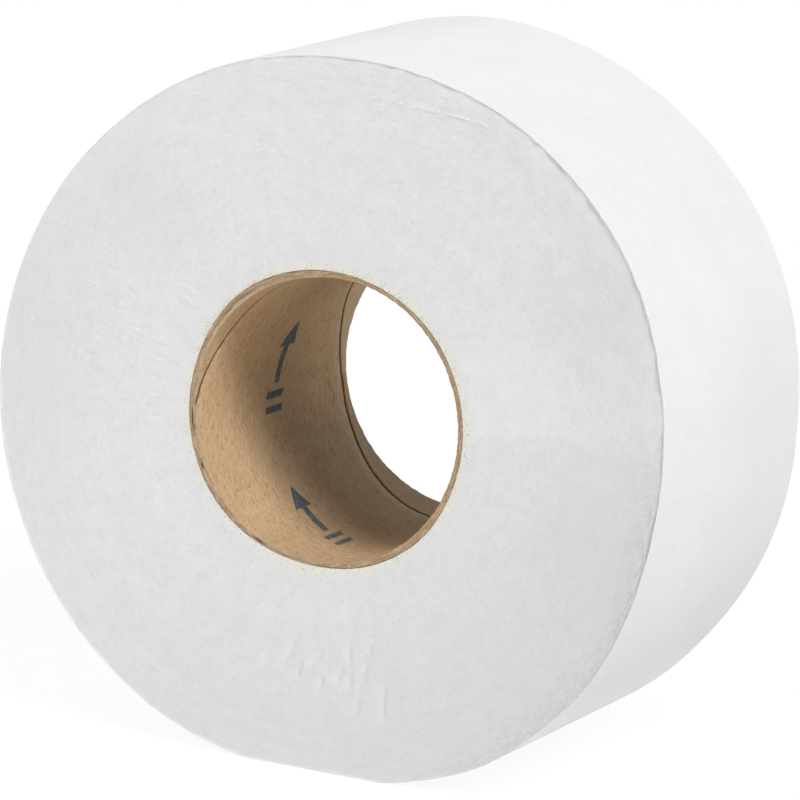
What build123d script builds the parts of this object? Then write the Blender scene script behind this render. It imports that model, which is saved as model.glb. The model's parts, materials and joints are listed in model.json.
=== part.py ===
from build123d import *

import os
from math import atan2, cos, degrees, radians, sin

# A jumbo roll of bathroom tissue: one long sheet wound on a wide card core.
# The roll stands on its rim. X runs across the end face, Y along the axis and Z up,
# and the origin is the centre of the core's bore. Lengths are in millimetres, angles in degrees.

# Wound tissue
roll_diameter = 192.5
roll_width = 90.0
edge_break = 0.6        # softness of the cut edge round each end face

# Card core
core_bore = 76.2
core_wall = 1.7
core_fit = 0.1          # gap between the core and the first turn

# Flat spot that the roll's own weight presses into its rim
flat_width = 29.0
flat_depth = 2.8

# Loose end of the sheet, lying on the turn below
tail_angle = 200.0      # place of the cut end round the axis, counted from +X towards +Z
tail_step = 0.35

# Turns that show on the end faces, in bands whose edges stand alternately proud and low
band_pitch = 5.0        # from one proud turn to the next
band_relief = 0.15      # from a proud turn down to a low one
core_margin = 1.5       # plain ring beside the core
rim_margin = 1.2        # plain ring beside the cut edge

# Worked out from the sizes above
roll_radius = roll_diameter / 2
bore_radius = core_bore / 2
core_radius = bore_radius + core_wall
winding_radius = core_radius + core_fit
half_width = roll_width / 2
end_plane = Plane.XZ


def on_circle(radius, angle):
    """Point on a circle about the axis, in the plane of the end face."""
    return (radius * cos(radians(angle)), radius * sin(radians(angle)))


def roll_outline(inset):
    """Outline of the last turn, drawn in by an inset: round, eased into the flat spot, with the tail's step."""
    radius = roll_radius - inset
    flat_level = flat_depth - radius
    half_flat = flat_width / 2

    # The easing touches the flat at its end and the round rim from inside.
    blend_radius = (radius**2 - flat_level**2 - half_flat**2) / (2 * flat_depth)
    blend_angle = degrees(atan2(flat_level + blend_radius, half_flat))
    blend_right = on_circle(radius, blend_angle)
    blend_left = on_circle(radius, 180 - blend_angle)

    # The last turn climbs by the tail's step over half a turn, about a centre moved towards the tail.
    lap_start = tail_angle - 180
    lap_centre = on_circle(tail_step / 2, tail_angle)

    flat = Line((-half_flat, flat_level), (half_flat, flat_level))
    return make_face(
        [
            flat,
            TangentArc(flat @ 1, blend_right, tangent=(1, 0)),
            CenterArc((0, 0), radius, blend_angle, lap_start - blend_angle),
            CenterArc(lap_centre, radius + tail_step / 2, lap_start, 180),
            Line(on_circle(radius + tail_step, tail_angle), on_circle(radius, tail_angle)),
            CenterArc((0, 0), radius, tail_angle, 180 - blend_angle - tail_angle),
            TangentArc(flat @ 0, blend_left, tangent=(-1, 0)),
        ]
    )


def rolled_block():
    """Outside of the winding, with its cut edges drawn in; it runs past the end faces."""
    straight_half = half_width - edge_break
    straight = extrude(end_plane * roll_outline(0), straight_half, both=True)
    taper_height = 2 * edge_break
    taper = loft(
        [
            end_plane.offset(straight_half) * roll_outline(0),
            end_plane.offset(straight_half + taper_height) * roll_outline(taper_height),
        ],
        ruled=True,
    )
    return straight + taper + mirror(taper, about=end_plane)


def wound_section():
    """Half section through the turns, from the core outwards, with the bands of turns on both ends."""
    first_band = winding_radius + core_margin
    last_band = roll_radius - flat_depth - edge_break - rim_margin
    band_count = round((last_band - first_band) / band_pitch)
    band_width = (last_band - first_band) / band_count

    end = [(winding_radius, half_width), (first_band, half_width)]
    for band in range(band_count):
        proud_turn = first_band + (band + 1) * band_width
        low_turn = proud_turn - band_width / 2
        end.append((low_turn, half_width - band_relief))
        end.append((proud_turn, half_width))
    end.append((roll_diameter, half_width))
    far_end = [(radius, -height) for radius, height in reversed(end)]
    return make_face(Polyline(*end, *far_end, close=True))


def paper_winding():
    """All the turns of the sheet as one soft solid ring."""
    return revolve(wound_section(), Axis.Y) & rolled_block()


def core_tube():
    """Card tube, cut square and as long as the sheet is wide."""
    return extrude(end_plane * (Circle(core_radius) - Circle(bore_radius)), half_width, both=True)


os.makedirs("parts", exist_ok=True)
export_step(paper_winding(), "parts/paper_winding.step")
export_step(core_tube(), "parts/core_tube.step")
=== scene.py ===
import json
from math import pi, radians, tau

import bmesh
import bpy
import numpy as np
from bpy.props import FloatProperty, FloatVectorProperty, IntProperty, PointerProperty
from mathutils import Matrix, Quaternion, Vector


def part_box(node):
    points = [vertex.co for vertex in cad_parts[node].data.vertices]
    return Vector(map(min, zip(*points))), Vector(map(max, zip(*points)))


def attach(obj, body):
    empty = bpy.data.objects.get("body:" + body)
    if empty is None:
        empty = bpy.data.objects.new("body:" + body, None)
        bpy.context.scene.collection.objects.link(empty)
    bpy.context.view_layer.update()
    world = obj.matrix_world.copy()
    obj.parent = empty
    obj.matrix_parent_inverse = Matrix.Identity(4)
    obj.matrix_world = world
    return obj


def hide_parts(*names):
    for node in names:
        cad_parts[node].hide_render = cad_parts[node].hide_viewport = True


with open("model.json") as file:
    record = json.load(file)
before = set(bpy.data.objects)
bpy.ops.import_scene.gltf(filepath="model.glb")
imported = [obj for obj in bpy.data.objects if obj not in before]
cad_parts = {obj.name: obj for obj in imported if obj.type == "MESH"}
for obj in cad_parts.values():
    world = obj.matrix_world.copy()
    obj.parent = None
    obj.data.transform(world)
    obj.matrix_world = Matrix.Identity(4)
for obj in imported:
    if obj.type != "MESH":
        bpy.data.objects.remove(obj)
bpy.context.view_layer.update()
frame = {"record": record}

bl_info = {
    "name": "Toilet paper roll",
    "version": (1, 0, 0),
    "blender": (4, 5, 0),
    "location": "View3D > Sidebar > Paper roll",
    "description": "Dresses a jumbo roll of bathroom tissue wound on a card core",
    "category": "Object",
}

# Lengths here are in metres, places round the roll are counted from +X towards +Z,
# and the front end face is the one at -Y.
MM = 0.001
BOTTOM = radians(270)

winding_low, winding_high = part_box("paper_winding")
_, core_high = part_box("core_tube")
core_bore = next(mount for mount in frame["record"]["mounts"] if mount["name"] == "core_bore")
bore_radius = core_bore["dims"]["r_mm"] * MM


def length(name, description, default):
    """A property that holds a length in metres."""
    return FloatProperty(name=name, description=description, default=default, unit="LENGTH", precision=5)


def angle(name, description, degrees):
    """A property that holds an angle, given here in degrees."""
    return FloatProperty(name=name, description=description, default=radians(degrees), subtype="ANGLE")


def colour(name, description, default):
    """A property that holds a plain colour."""
    return FloatVectorProperty(
        name=name, description=description, default=default, subtype="COLOR", min=0.0, max=1.0
    )


def share(name, description, default):
    """A property that holds a share from 0 to 1."""
    return FloatProperty(
        name=name, description=description, default=default, subtype="FACTOR", min=0.0, max=1.0
    )


def brightness(name, description, default):
    """A property that holds the strength of a light."""
    return FloatProperty(name=name, description=description, default=default, min=0.0)


def whole_number(name, description, default, least):
    """A property that holds a whole number."""
    return IntProperty(name=name, description=description, default=default, min=least)


class WindingShape(bpy.types.PropertyGroup):
    """Sizes of the wound tissue and of what shows on its end faces."""

    radius: length("Radius", "Radius of the last turn", winding_high.x)
    half_width: length("Half width", "Half the sheet's width", winding_high.y)
    flat_level: length("Flat level", "Height of the flat spot that the roll rests on", winding_low.z)
    tail_angle: angle("Tail", "Place of the sheet's loose end", 200)
    tail_step: length("Tail step", "Height of the loose end over the turn below", 0.35 * MM)
    tail_lap: angle("Tail lap", "How far back the loose sheet shows over the turn below", 95)
    tail_curl: length("Tail curl", "How far the loose end lifts", 0.45 * MM)
    sheet: length("Sheet", "Thickness of the loose sheet", 0.20 * MM)
    turn_relief: length("Turn relief", "How far bands of turns stand proud of one another", 0.05 * MM)
    sway: length("Sway", "Slow unevenness of the end faces", 0.22 * MM)
    wrinkle_height: length("Wrinkles", "Height of the fine wrinkles at the left of the front face", 0.1 * MM)
    pleat_depth: length("Pleats", "Depth of the short pleats above the flat spot", 0.20 * MM)
    crease_height: length("Crease", "Height of the pinched fold near the rim", 0.10 * MM)
    lip_height: length("Lip", "How far the last turns stand out at the end face", 0.54 * MM)
    columns: whole_number("Columns", "Mesh columns round the roll", 960, 64)


class CoreShape(bpy.types.PropertyGroup):
    """Sizes of the spiral-wound card core."""

    radius: length("Radius", "Outer radius of the core", core_high.x)
    bore: length("Bore", "Radius of the open bore", bore_radius)
    half_length: length("Half length", "Half the core's length", core_high.y)
    seam_start: angle("Seam start", "Place where the inner ply's seam leaves the front end", 189)
    seam_width: length("Seam width", "Width of the gap between the turns of the inner ply", 1.05 * MM)
    seam_depth: length("Seam depth", "Depth of that gap", 0.45 * MM)
    ply_step: length("Ply step", "How far one edge of the inner ply stands proud at the seam", 0.16 * MM)
    ply_lead: length("Ply lead", "Advance of the inner ply in one turn", 90 * MM)
    ragged: length("Ragged edge", "Roughness of the cut card", 0.15 * MM)
    columns: whole_number("Columns", "Mesh columns round the core", 540, 64)
    fibres: whole_number("Fibres", "Loose card fibres at each end", 170, 0)


class RollFinish(bpy.types.PropertyGroup):
    """Colours of the tissue and the card."""

    tissue: colour("Tissue", "Clean tissue", (0.87, 0.87, 0.87))
    # Pale strokes, and painted light: the lit fields and pleat slopes of the front face and highlights along
    # the crease
    tissue_pale_and_lit: colour("Light tissue", "Raised, looser tissue", (0.96, 0.96, 0.96))
    # Darker mottle, and painted shade: the fine gaps between turns, the shaded fields of the face and
    # outside, and the shadow beside the crease
    tissue_mottle_and_shade: colour("Tissue shade", "Tissue in the fine gaps between turns", (0.64, 0.64, 0.64))
    core_stain: colour("Core stain", "Cream tint of the turns beside the core", (0.89, 0.87, 0.76))
    dust: colour("Dust", "Specks of card and dust", (0.20, 0.17, 0.14))
    card: colour("Card", "Face of the kraft card", (0.69, 0.49, 0.29))
    card_dark: colour("Dark fibre", "Dark fibres in the card", (0.24, 0.15, 0.077))
    card_pale: colour("Pale fibre", "Pale fibres in the card", (0.74, 0.58, 0.40))
    # Painted shade deeper inside the bore
    card_painted_shade: colour("Deep card", "Duller card towards the far end", (0.46, 0.375, 0.262))
    card_cut: colour("Cut card", "Cut edge of the card", (0.46, 0.315, 0.19))
    ink: colour("Ink", "Print on the inside of the core", (0.07, 0.10, 0.125))


class RollStage(bpy.types.PropertyGroup):
    """Floor, light and camera."""

    floor: share("Floor", "Grey level of the floor's bounce", 0.90)
    shadow: share("Shadow", "How strongly the floor shows a shadow", 0.08)
    ambient: brightness("Ambient", "Light from all round", 0.36)
    glow: brightness("Glow", "How much more light comes from behind", 0.32)
    key: brightness("Key", "Strength of the soft key light", 2.2)
    key_spread: angle("Key spread", "Apparent size of the key light", 22)
    key_turn: angle("Key turn", "Place of the key light round the roll's axis", 50)
    key_lean: angle("Key lean", "Angle between the key light and the roll's axis", 65)
    fill: FloatProperty(
        name="Fill", description="Power of the fill light at the left", default=1.15, unit="POWER"
    )
    azimuth: angle("Azimuth", "Camera's place round the vertical, from the front", 24.97)
    elevation: angle("Elevation", "Camera's height above the horizontal", 11.315)
    tilt: angle("Tilt", "Camera's turn about its own line of sight", 4.13)
    distance: length("Distance", "Camera's distance from the roll's centre", 1.9153)
    aim_drop: length("Aim drop", "How far below the roll's centre the camera aims", 1.3 * MM)
    focal: FloatProperty(
        name="Focal length", description="Lens in millimetres", default=324.2, unit="CAMERA"
    )


# Shapes round the roll


def turn_away(theta, place):
    """Signed angle from a place to each point, the short way round."""
    return (theta - place + pi) % tau - pi


def bump(theta, place_degrees, spread_degrees):
    """Smooth hump from 0 to 1 round one place on the roll."""
    return np.exp(-((turn_away(theta, radians(place_degrees)) / radians(spread_degrees)) ** 2))


def ramp(value, start, end):
    """Smooth step from 0 at start to 1 at end."""
    t = np.clip((value - start) / (end - start), 0.0, 1.0)
    return t * t * (3 - 2 * t)


def soft_noise(theta, across, cells, seed):
    """Smooth noise from -1 to 1 that meets itself after a turn; across counts cells the other way."""
    rows = 512
    table = np.random.default_rng(seed).uniform(-1.0, 1.0, (cells, rows))
    round_cells = (theta % tau) / tau * cells
    column = np.floor(round_cells).astype(int)
    row = np.floor(across).astype(int)
    column_share = ramp(round_cells - column, 0.0, 1.0)
    row_share = ramp(across - row, 0.0, 1.0)

    def corner(next_column, next_row):
        return table[(column + next_column) % cells, (row + next_row) % rows]

    near = corner(0, 0) * (1 - row_share) + corner(0, 1) * row_share
    far = corner(1, 0) * (1 - row_share) + corner(1, 1) * row_share
    return near * (1 - column_share) + far * column_share


def swell(theta, bulges):
    """How far bulges and dents push a round outline out; each has its place, spread and height."""
    return sum(height * MM * bump(theta, place, spread) for place, spread, height in bulges)


def path_curve(points, where):
    """Smooth curve through (place, value) points, read at each place in where."""
    places, values = np.array(points, dtype=float).T
    slopes = np.gradient(values, places)
    first = np.clip(np.searchsorted(places, where, side="right") - 1, 0, len(places) - 2)
    step = places[first + 1] - places[first]
    t = (where - places[first]) / step
    rise = values[first + 1] - values[first]
    return (
        values[first]
        + t * step * slopes[first]
        + t**2 * (3 * rise - step * (2 * slopes[first] + slopes[first + 1]))
        + t**3 * (step * (slopes[first] + slopes[first + 1]) - 2 * rise)
    )


def on_roll(radius, theta, along):
    """Points at a radius and an angle about the roll's axis and a place along it."""
    shape = np.broadcast_shapes(np.shape(radius), np.shape(theta), np.shape(along))
    x = np.broadcast_to(radius * np.cos(theta), shape)
    z = np.broadcast_to(radius * np.sin(theta), shape)
    return np.stack((x, np.broadcast_to(along, shape), z), axis=-1)


def grid_faces(rows, columns, close_rows=False, close_columns=False):
    """Quads of a grid of points, numbered row by row."""
    row = np.arange(rows if close_rows else rows - 1)
    column = np.arange(columns if close_columns else columns - 1)
    i, j = np.meshgrid(row, column, indexing="ij")
    next_i = (i + 1) % rows
    next_j = (j + 1) % columns
    corners = (i * columns + j, next_i * columns + j, next_i * columns + next_j, i * columns + next_j)
    return np.stack(corners, axis=-1).reshape(-1, 4)


def boundary_loop(rows, columns):
    """Numbers of the points round the edge of a grid, in order."""
    first = np.arange(columns)
    right = np.arange(1, rows) * columns + columns - 1
    last = (rows - 1) * columns + np.arange(columns - 2, -1, -1)
    left = np.arange(rows - 2, 0, -1) * columns
    return np.concatenate((first, right, last, left))


# Bulges and dents: places and spreads in degrees, heights in millimetres.
# A pressed roll is a little out of true, and its two ends differ.
FRONT_BULGES = (
    (36, 21, 1.9), (61, 11, 0.6), (94, 15, -0.7), (165, 35, 0.35), (232, 14, -0.5), (259, 14, -1.3),
    (301, 11, 2.0), (322, 16, 2.3), (355, 10, -0.3),
)
FAR_BULGES = (
    (2, 10, -0.5), (30, 11, 0.4), (60, 13, -0.4), (91, 11, 0.6), (170, 35, 0.3), (226, 14, -0.3),
    (258, 20, -1.1), (303, 15, 1.2), (335, 16, 0.55),
)


def rim_radius(theta, along, shape):
    """Radius of the outside of the roll, cut off by the flat spot that it rests on."""
    near = shape.radius + swell(theta, FRONT_BULGES)
    far = shape.radius + swell(theta, FAR_BULGES)
    rounded = near + (far - near) * (0.5 + along / (2 * shape.half_width))
    flat = -shape.flat_level / np.maximum(np.cos(turn_away(theta, BOTTOM)), 0.5)
    ease = 0.5 * MM
    keep = np.clip(0.5 + (flat - rounded) / (2 * ease), 0.0, 1.0)
    return flat + (rounded - flat) * keep - ease * keep * (1 - keep)


def tail_drop(theta, shape):
    """How far the turn below sinks under the loose sheet, so that the sheet's end stands over it."""
    past_tail = turn_away(theta, shape.tail_angle)
    under = ramp(past_tail, -shape.tail_lap, 0.0)
    beyond = ramp(past_tail, radians(25), 0.0)
    return shape.tail_step * np.where(past_tail <= 0, under, beyond)


# Bulges and dents of the core's front edge: its outside and its bore
CORE_OUTSIDE = (
    (20, 35, -0.3), (75, 28, -0.6), (135, 18, 0.6), (210, 20, 0.2), (264, 26, -1.0), (319, 15, 0.35),
)
CORE_MOUTH = ((102, 24, -0.55), (265, 28, -0.3))


def core_spread(theta):
    """How far the front edge of the core's outside is pushed out."""
    return swell(theta, CORE_OUTSIDE)


def wrap_wobble(theta, along):
    """Slight unevenness of the outside of the roll."""
    broad = 0.08 * MM * soft_noise(theta, along / (40 * MM) + 8, 30, 11)
    fine = 0.025 * MM * soft_noise(theta, along / (9 * MM) + 40, 110, 12)
    return broad + fine


# Pinched fold near the rim: places in degrees and radius in millimetres
CREASE = ((65, 92), (71, 89.5), (78, 87.3), (86, 86.6))


def past_crease(theta, radius):
    """How far out each point lies from the pinched fold, which is a little crooked."""
    place = np.clip(np.degrees(theta), CREASE[0][0], CREASE[-1][0])
    crook = 0.30 * MM * soft_noise(theta, 0 * radius + 2, 240, 27)
    return radius - path_curve(CREASE, place) * MM + crook


def crease_window(theta):
    """Where the pinched fold runs, from 0 to 1."""
    return ramp(theta, radians(63.5), radians(66)) * ramp(theta, radians(89), radians(78))


# Short pleats above the flat spot: radius in millimetres and place in degrees of both ends
PLEATS = (
    ((60, 266.5), (67.5, 264)),
    ((65.5, 268), (69, 268)),
    ((61.5, 273.5), (66, 271)),
    ((59, 281.5), (63.5, 281)),
    ((64.5, 279), (69, 277.5)),
    ((64.5, 285.5), (71, 282.5)),
    ((72.5, 282.5), (77.5, 281)),
    ((71, 289), (80, 286.5)),
    ((58.5, 288.5), (62.5, 286.5)),
    ((68.5, 273.5), (72.5, 273)),
    ((63, 261), (67.5, 259)),
    ((67.5, 281), (71.5, 279.5)),
)


def face_place(radius_mm, degrees):
    """A place on the end face as (x, z)."""
    return radius_mm * MM * np.cos(radians(degrees)), radius_mm * MM * np.sin(radians(degrees))


def fold(x, z, start, end, one_side, other_side):
    """Height from 0 to 1 of a straight fold with its own width on each side, fading at its ends."""
    run_x, run_z = end[0] - start[0], end[1] - start[1]
    size = np.hypot(run_x, run_z)
    along = ((x - start[0]) * run_x + (z - start[1]) * run_z) / size
    side = ((x - start[0]) * run_z - (z - start[1]) * run_x) / size
    fade = ramp(along, -0.3 * size, 0.25 * size) * ramp(along, 1.3 * size, 0.75 * size)
    return fade * np.exp(-((side / np.where(side > 0, one_side, other_side)) ** 2))


def pleat_folds(theta, radius, one_side, other_side):
    """Sum of the pleats, each a little crooked and uneven along its length."""
    crook = 0.45 * MM * soft_noise(theta, radius / (2.2 * MM), 90, 37)
    x = radius * np.cos(theta) + crook
    z = radius * np.sin(theta)
    uneven = 1.0 + 0.45 * soft_noise(theta, radius / (1.7 * MM) + 6, 60, 38)
    ends = [(face_place(*start), face_place(*end)) for start, end in PLEATS]
    return uneven * sum(fold(x, z, start, end, one_side, other_side) for start, end in ends)


def left_wrinkles(x, z):
    """Fine short wrinkles on the left, from -1 to 1."""
    random = np.random.default_rng(24)
    height = np.zeros_like(x)
    for _ in range(52):
        place = random.normal(168, 11)
        start = face_place(random.uniform(43, 78), place)
        heading = radians(180 + 0.25 * (place - 180) + random.normal(0.0, 9.0))
        size = random.uniform(1.6, 5.0) * MM
        end = start[0] + size * np.cos(heading), start[1] + size * np.sin(heading)
        strength = random.uniform(0.4, 1.0) * random.choice((-1.0, 1.0))
        height += strength * fold(x, z, start, end, 0.25 * MM, 0.55 * MM)
    return height


def front_relief(theta, radius, from_rim, shape):
    """Height of the front end face: bands of turns, sway, wrinkles, pleats, a crease and the rim's lip."""
    x, z = radius * np.cos(theta), radius * np.sin(theta)
    bands = soft_noise(theta, radius / (2.4 * MM), 5, 21) + 1.2 * soft_noise(theta, radius / (6 * MM), 4, 22)
    sway = soft_noise(theta, radius / (26 * MM) + 3, 13, 23)
    height = shape.turn_relief * bands + shape.sway * sway + shape.wrinkle_height * left_wrinkles(x, z)

    # Pleats where the turns are pressed above the flat spot: shallow valleys, each steep on its right
    height -= shape.pleat_depth * pleat_folds(theta, radius, 2.6 * MM, 0.5 * MM)

    # A pinched fold, thin and broken, with the turns outside it a little low
    past_fold = past_crease(theta, radius)
    broken = np.maximum(0.45 + 0.9 * soft_noise(theta, 0 * radius + 5, 150, 28), 0.0)
    pinch = broken * np.exp(-((past_fold / (0.45 * MM)) ** 2)) - 0.3 * ramp(past_fold, 0.0, 1.2 * MM)
    height += shape.crease_height * crease_window(theta) * pinch

    # The last turns stand out in an uneven lip, most at the upper right
    ragged = soft_noise(theta, 0 * radius + 1, 230, 26)
    strength = (0.3 + 0.75 * bump(theta, 30, 58) - 0.35 * bump(theta, 63, 9)) * (0.85 + 0.6 * ragged)
    reach = (0.56 + 0.30 * bump(theta, 36, 44) + 0.22 * soft_noise(theta, 0 * radius + 3, 170, 29)) * MM
    return height + strength * shape.lip_height * ramp(from_rim, reach, 0.25 * reach)


def back_relief(theta, radius, from_rim, shape):
    """Height of the far end face: bands of turns, slow sway and the rim's lip."""
    bands = soft_noise(theta, radius / (2.8 * MM), 5, 31) + 1.2 * soft_noise(theta, radius / (6 * MM), 4, 32)
    sway = soft_noise(theta, radius / (26 * MM) + 3, 13, 33)
    height = shape.turn_relief * bands + shape.sway * sway
    return height + 0.3 * shape.lip_height * ramp(from_rim, 0.45 * MM, 0.2 * MM)


def face_light_and_shade(theta, radius):
    """Painted light and shade of the front face, with a darker blotch and a darker field beside the core,
    from -1 towards the shade colour to 1 towards the light colour.
    """
    out = ramp(radius, 44 * MM, 93 * MM)
    edge = radians(4.0) + radians(1.2) * soft_noise(theta, radius / (9 * MM), 40, 35)
    above = turn_away(theta, edge)

    # Painted light right of the core, above a clear edge, and painted shade below it.
    lit_patch = ramp(above, radians(-0.8), radians(0.8)) * ramp(above, radians(42), radians(20))
    lit_patch = lit_patch * ramp(radius, 39 * MM, 46 * MM) * ramp(radius, 76 * MM, 60 * MM)
    lower = ramp(above, radians(5), radians(-7)) * ramp(above, radians(-170), radians(-100))
    lower = lower * (0.55 + 0.45 * ramp(above, radians(-2), radians(-45)))
    # Painted highlights on the pleats' gentle slopes, and painted shade in their steep crevices
    pleat_highlight = np.minimum(pleat_folds(theta, radius, 2.0 * MM, 0.4 * MM), 1.0)
    crevice_shade = np.minimum(pleat_folds(theta, radius, 0.3 * MM, 0.6 * MM), 1.0)
    # Painted shade at the left, right and lower right; a darker blotch at the upper left and a darker field
    # beside the core
    left = bump(theta, 172, 38)
    blotch = bump(theta, 138, 10) * np.exp(-(((radius - 74 * MM) / (16 * MM)) ** 2))
    right = bump(theta, 28, 12) * ramp(radius, 56 * MM, 66 * MM)
    below_right = bump(theta, 345, 12) * ramp(radius, 56 * MM, 68 * MM)
    by_core = bump(theta, 105, 65) * ramp(radius, 53 * MM, 42 * MM)
    painted_shade = lower * (0.10 + 0.26 * out) + 0.27 * left * out + 0.16 * blotch + 0.14 * right
    painted_shade = painted_shade + 0.12 * below_right + 0.10 * by_core + 0.26 * crevice_shade
    return 0.26 * lit_patch + 0.15 * pleat_highlight - painted_shade


def wrap_light_and_shade(theta, along, shape):
    """Painted light and shade of the outside, lighter at the lower right and darker at the far right, and a
    painted shadow past the loose end, on the same scale as the face's.
    """
    past_tail = turn_away(theta, shape.tail_angle) * shape.radius
    tail_shade = ramp(past_tail, -3 * MM, 0.0) * ramp(past_tail, 2.6 * MM, 0.4 * MM)
    below_right = bump(theta, -54, 15)
    far_right = bump(theta, 4, 26) * ramp(along, -25 * MM, 25 * MM)
    return 0.7 * below_right - 0.24 * far_right - 0.5 * tail_shade


def darker_rim_band(theta, from_rim):
    """Where the outermost turns at the lower right are darker and patchy."""
    above = turn_away(theta, 0.0)
    fading = 0.25 + 0.75 * ramp(above, radians(-72), radians(-50))
    window = fading * ramp(above, radians(-98), radians(-70)) * ramp(above, radians(10), radians(-8))
    reach = (11 + 3.5 * soft_noise(theta, 0 * from_rim + 4, 24, 36)) * MM
    return window * ramp(from_rim, reach, 0.1 * reach)


def column_angles(count):
    """Angles of the winding's mesh columns, closer together where the front face has folds."""
    fine = np.linspace(0.0, tau, 3601)
    weight = 1 + 1.3 * bump(fine, 275, 20) + 0.9 * bump(fine, 166, 24) + 0.7 * bump(fine, 76, 16)
    place = np.concatenate(([0.0], np.cumsum((weight[1:] + weight[:-1]) / 2)))
    return np.interp(np.arange(count) / count, place / place[-1], fine)


# Distances in from the rim of the mesh rings that carry the lip
RIM_RINGS = np.array(
    (5.5, 5.0, 4.5, 4.0, 3.5, 3.0, 2.5, 2.05, 1.65, 1.3, 1.05, 0.85, 0.67, 0.5, 0.34, 0.19, 0.06)
) * MM


def winding_points(shape, core):
    """Rings of points over the front face, the outside and the far face, their counts and their marks."""
    theta = column_angles(shape.columns)
    inner = core.radius + 0.06 * MM
    span = shape.radius - inner

    def face_rings(from_rim, spread, relief, end):
        rim = rim_radius(theta, end * shape.half_width, shape) - tail_drop(theta, shape)
        nominal = (shape.radius - from_rim)[:, None]
        out = (nominal - inner) / span
        radius = nominal + (rim - shape.radius) * out**2 + spread * (1 - out) ** 6
        height = relief(np.broadcast_to(theta, radius.shape), radius, from_rim[:, None], shape)
        return on_roll(radius, theta, end * (shape.half_width + height)), radius

    rim_band_rings = np.linspace(12.5, 6.0, 14) * MM
    front_rings = np.concatenate((np.linspace(span, 13 * MM, 38), rim_band_rings, RIM_RINGS))
    back_rings = np.concatenate((np.linspace(span, 6 * MM, 15), RIM_RINGS[1::3]))[::-1]
    front, front_radius = face_rings(front_rings, core_spread(theta), front_relief, -1)
    back, _ = face_rings(back_rings, 0 * theta, back_relief, 1)

    near_edge = np.array((0.12, 0.5, 1.5)) * MM
    middle = np.linspace(-1, 1, 7) * (shape.half_width - 6 * MM)
    along = np.concatenate((near_edge - shape.half_width, middle, shape.half_width - near_edge[::-1]))
    along = along[:, None]
    wrap_radius = rim_radius(theta, along, shape) - tail_drop(theta, shape) + wrap_wobble(theta, along)
    wrap = on_roll(wrap_radius, theta, along)

    counts = (len(front), len(wrap), len(back))
    places = np.broadcast_to(theta, front_radius.shape)
    plain = np.zeros((len(wrap) + len(back), len(theta)))
    painted_light_and_shade = (face_light_and_shade(places, front_radius), wrap_light_and_shade(theta, along, shape), plain[: len(back)])
    marks = {
        "rim_band": np.concatenate((darker_rim_band(theta, front_rings[:, None]), plain)),
        "fold": np.concatenate((crease_window(places), plain)),
        "past_fold": np.concatenate((past_crease(places, front_radius) / MM, plain)),
        # The tone is painted light and shade, on the front face and the outside.
        "tone": np.concatenate(painted_light_and_shade),
    }
    return np.concatenate((front, wrap, back)), counts, marks


# Meshes: edges sharper than these angles are kept sharp
SHARP_PAPER = radians(50)
SHARP_CARD = radians(45)


def new_piece(name, points, faces, materials):
    """Makes a smooth mesh object that rides with the roll and takes its finish from a slot."""
    mesh = bpy.data.meshes.new(name)
    mesh.from_pydata(np.asarray(points).reshape(-1, 3), [], faces)
    for material in materials:
        mesh.materials.append(material)
    mesh.shade_smooth()
    piece = bpy.data.objects.new(name, mesh)
    bpy.context.collection.objects.link(piece)
    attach(piece, "root")
    return piece


def mark_points(mesh, name, values):
    """Stores a number on each point of a mesh."""
    layer = mesh.attributes.new(name, "FLOAT", "POINT")
    layer.data.foreach_set("value", np.asarray(values, dtype=np.float32).ravel())


def join_points(mesh):
    """Joins points that coincide, drops empty faces and turns all faces outwards."""
    work = bmesh.new()
    work.from_mesh(mesh)
    bmesh.ops.remove_doubles(work, verts=work.verts, dist=0.002 * MM)
    bmesh.ops.dissolve_degenerate(work, dist=0.0005 * MM, edges=work.edges)
    bmesh.ops.recalc_face_normals(work, faces=work.faces)
    work.to_mesh(mesh)
    work.free()


# Node helpers


def add_node(tree, kind, inputs=None, **settings):
    """Adds a node, sets it up and fills its inputs with values or links."""
    made = tree.nodes.new(kind)
    for name, value in settings.items():
        setattr(made, name, value)
    for key, value in (inputs or {}).items():
        if isinstance(value, bpy.types.NodeSocket):
            tree.links.new(value, made.inputs[key])
        else:
            made.inputs[key].default_value = value
    return made


def reckon(tree, operation, *values):
    """One step of arithmetic on sockets or numbers."""
    return add_node(tree, "ShaderNodeMath", dict(enumerate(values)), operation=operation).outputs[0]


def times(tree, first, second):
    """Product of two sockets or numbers."""
    return reckon(tree, "MULTIPLY", first, second)


def rescale(tree, value, start, end, low=0.0, high=1.0):
    """Smoothly maps the range from start to end onto low to high."""
    inputs = {"Value": value, "From Min": start, "From Max": end, "To Min": low, "To Max": high}
    return add_node(tree, "ShaderNodeMapRange", inputs, interpolation_type="SMOOTHSTEP").outputs["Result"]


def blend_colour(tree, factor, first, second):
    """Mixes two colours, each a socket or a plain colour."""
    made = tree.nodes.new("ShaderNodeMix")
    made.data_type = "RGBA"
    colour_inputs = [socket for socket in made.inputs if socket.type == "RGBA"]
    numbers = [socket for socket in made.inputs if socket.type == "VALUE"]
    factor_input = next(socket for socket in numbers if socket.name == "Factor")
    for socket, value in zip([factor_input] + colour_inputs, (factor, first, second)):
        if isinstance(value, bpy.types.NodeSocket):
            tree.links.new(value, socket)
        else:
            socket.default_value = value if isinstance(value, float) else (*value, 1.0)
    return next(socket for socket in made.outputs if socket.type == "RGBA")


def cover(tree, base, colour_over, factor, share=1.0):
    """Lays a colour over a base colour, as far as a factor and a share of it say."""
    return blend_colour(tree, times(tree, factor, share), base, colour_over)


def darker(shade, plain_colour):
    """A plain colour, made darker."""
    return tuple(shade * value for value in plain_colour)


def shared_group(name, build):
    """A node group that is built the first time it is asked for."""
    if name not in bpy.data.node_groups:
        build(name)
    return bpy.data.node_groups[name]


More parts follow.
